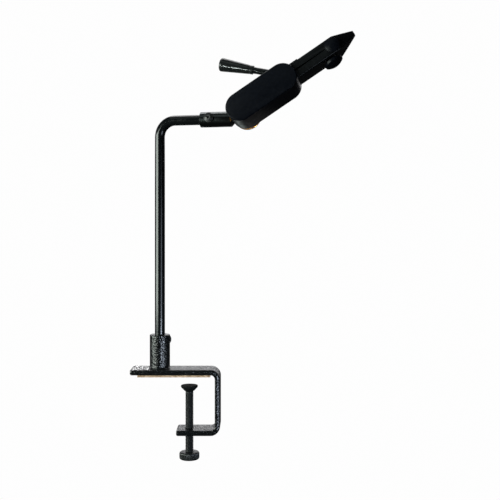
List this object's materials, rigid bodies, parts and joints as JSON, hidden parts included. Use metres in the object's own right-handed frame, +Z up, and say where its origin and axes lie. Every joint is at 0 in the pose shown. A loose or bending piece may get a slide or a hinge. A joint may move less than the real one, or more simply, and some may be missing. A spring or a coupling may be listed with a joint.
{
  "type": "fly-tying vise",
  "caption": "Table-clamp vise with a bent round stem and a tilting head; a flip lever and cam close its pointed jaws on a fish hook.",
  "frame": {"origin": "on the stem's axis, in the underside of the cork pad that rests on the table", "axes": "+Z up along the stem, +X along the clamp plate towards the clamp's spine, +Y away from the head's near face"},
  "size_m": [0.2058, 0.0786, 0.3939],
  "materials": {
    "hammered_coat": "glossy black hammered coat",
    "cork": "pressed cork",
    "blackened_steel": "satin black oxide",
    "stem_black": "gloss black",
    "head_black": "satin black anodised",
    "jaw_steel": "black oxide, oiled",
    "brass": "polished and knurled",
    "bronze": "sintered bronze",
    "spring_steel": "blued spring steel",
    "ring_rubber": "matt black rubber",
    "grip_plastic": "moulded black, semi-gloss"
  },
  "bodies": {
    "clamp": {"clamp_frame": "hammered_coat", "cork_pad": "cork", "stem_socket": "hammered_coat"},
    "pad": {"swivel_pad": "blackened_steel"},
    "screw": {"clamp_screw": "blackened_steel", "clamp_knob": "blackened_steel"},
    "socket_lock": {"socket_lock_screw": "blackened_steel"},
    "stem": {"stem": "stem_black"},
    "swivel": {"head_swivel": "stem_black", "pivot_bush": "bronze"},
    "swivel_lock": {"swivel_lock_screw": "blackened_steel"},
    "head": {"pivot_bolt": "blackened_steel", "pivot_washer": "blackened_steel", "housing_near": "head_black", "housing_far": "head_black", "housing_screws": "blackened_steel", "lower_jaw": "jaw_steel", "jaw_pivot_screw": "jaw_steel", "jaw_pivot_cap": "jaw_steel", "jaw_return_spring": "spring_steel", "friction_ring": "ring_rubber"},
    "tilt_wheel": {"tilt_lock_wheel": "brass"},
    "upper_jaw": {"upper_jaw": "jaw_steel"},
    "adjuster": {"adjusting_screw": "jaw_steel"},
    "lever": {"lever_camshaft": "blackened_steel", "lever_rod": "blackened_steel", "lever_grip": "grip_plastic"}
  },
  "joints": [
    {"name": "clamp_screw_turn", "type": "hinge", "parent": "pad", "child": "screw", "pos_m": [0.028, 0, -0.0153], "axis": [0, 0, 1], "range_deg": [-8840, 2411]},
    {"name": "pad_travel", "type": "slide", "parent": "clamp", "child": "pad", "axis": [0, 0, 1], "range_m": [-0.0346, 0.0094]},
    {"name": "socket_lock_turn", "type": "hinge", "parent": "clamp", "child": "socket_lock", "pos_m": [0.00632, 0.00753, 0.03315], "axis": [0.6428, 0.766, 0], "range_deg": [0, 180]},
    {"name": "stem_turn", "type": "hinge", "parent": "clamp", "child": "stem", "pos_m": [0, 0, 0.0068], "axis": [0, 0, 1], "continuous": true},
    {"name": "swivel_roll", "type": "hinge", "parent": "stem", "child": "swivel", "pos_m": [0.08513, -0.01934, 0.241], "axis": [0.9751, -0.2215, 0], "continuous": true},
    {"name": "swivel_lock_turn", "type": "hinge", "parent": "swivel", "child": "swivel_lock", "pos_m": [0.04703, -0.01822, 0.24224], "axis": [-0.2184, -0.9615, 0.1668], "range_deg": [0, 180]},
    {"name": "head_tilt", "type": "hinge", "parent": "swivel", "child": "head", "pos_m": [0.08513, -0.01934, 0.241], "axis": [-0.2184, -0.9615, 0.1668], "range_deg": [-125, 95]},
    {"name": "tilt_wheel_turn", "type": "hinge", "parent": "head", "child": "tilt_wheel", "pos_m": [0.08253, -0.03078, 0.24298], "axis": [0.2184, 0.9615, -0.1668], "range_deg": [0, 270]},
    {"name": "lever_throw", "type": "hinge", "parent": "head", "child": "lever", "pos_m": [0.12317, -0.04939, 0.27469], "axis": [0.2184, 0.9615, -0.1668], "range_deg": [0, 60]},
    {"name": "upper_jaw_hinge", "type": "hinge", "parent": "head", "child": "upper_jaw", "pos_m": [0.15945, -0.05342, 0.29899], "axis": [-0.2184, -0.9615, 0.1668], "range_deg": [0, 2.17]},
    {"name": "adjusting_screw_turn", "type": "hinge", "parent": "head", "child": "adjuster", "pos_m": [0.15795, -0.05476, 0.28927], "axis": [0.5176, -0.259, -0.8155], "range_deg": [-180, 180]}
  ],
  "couplings": [
    {"joint": "clamp_screw_turn", "follows": "pad_travel", "rad_per_m": 4452.7},
    {"joint": "upper_jaw_hinge", "follows": "lever_throw", "ratio": 0.036071}
  ]
}
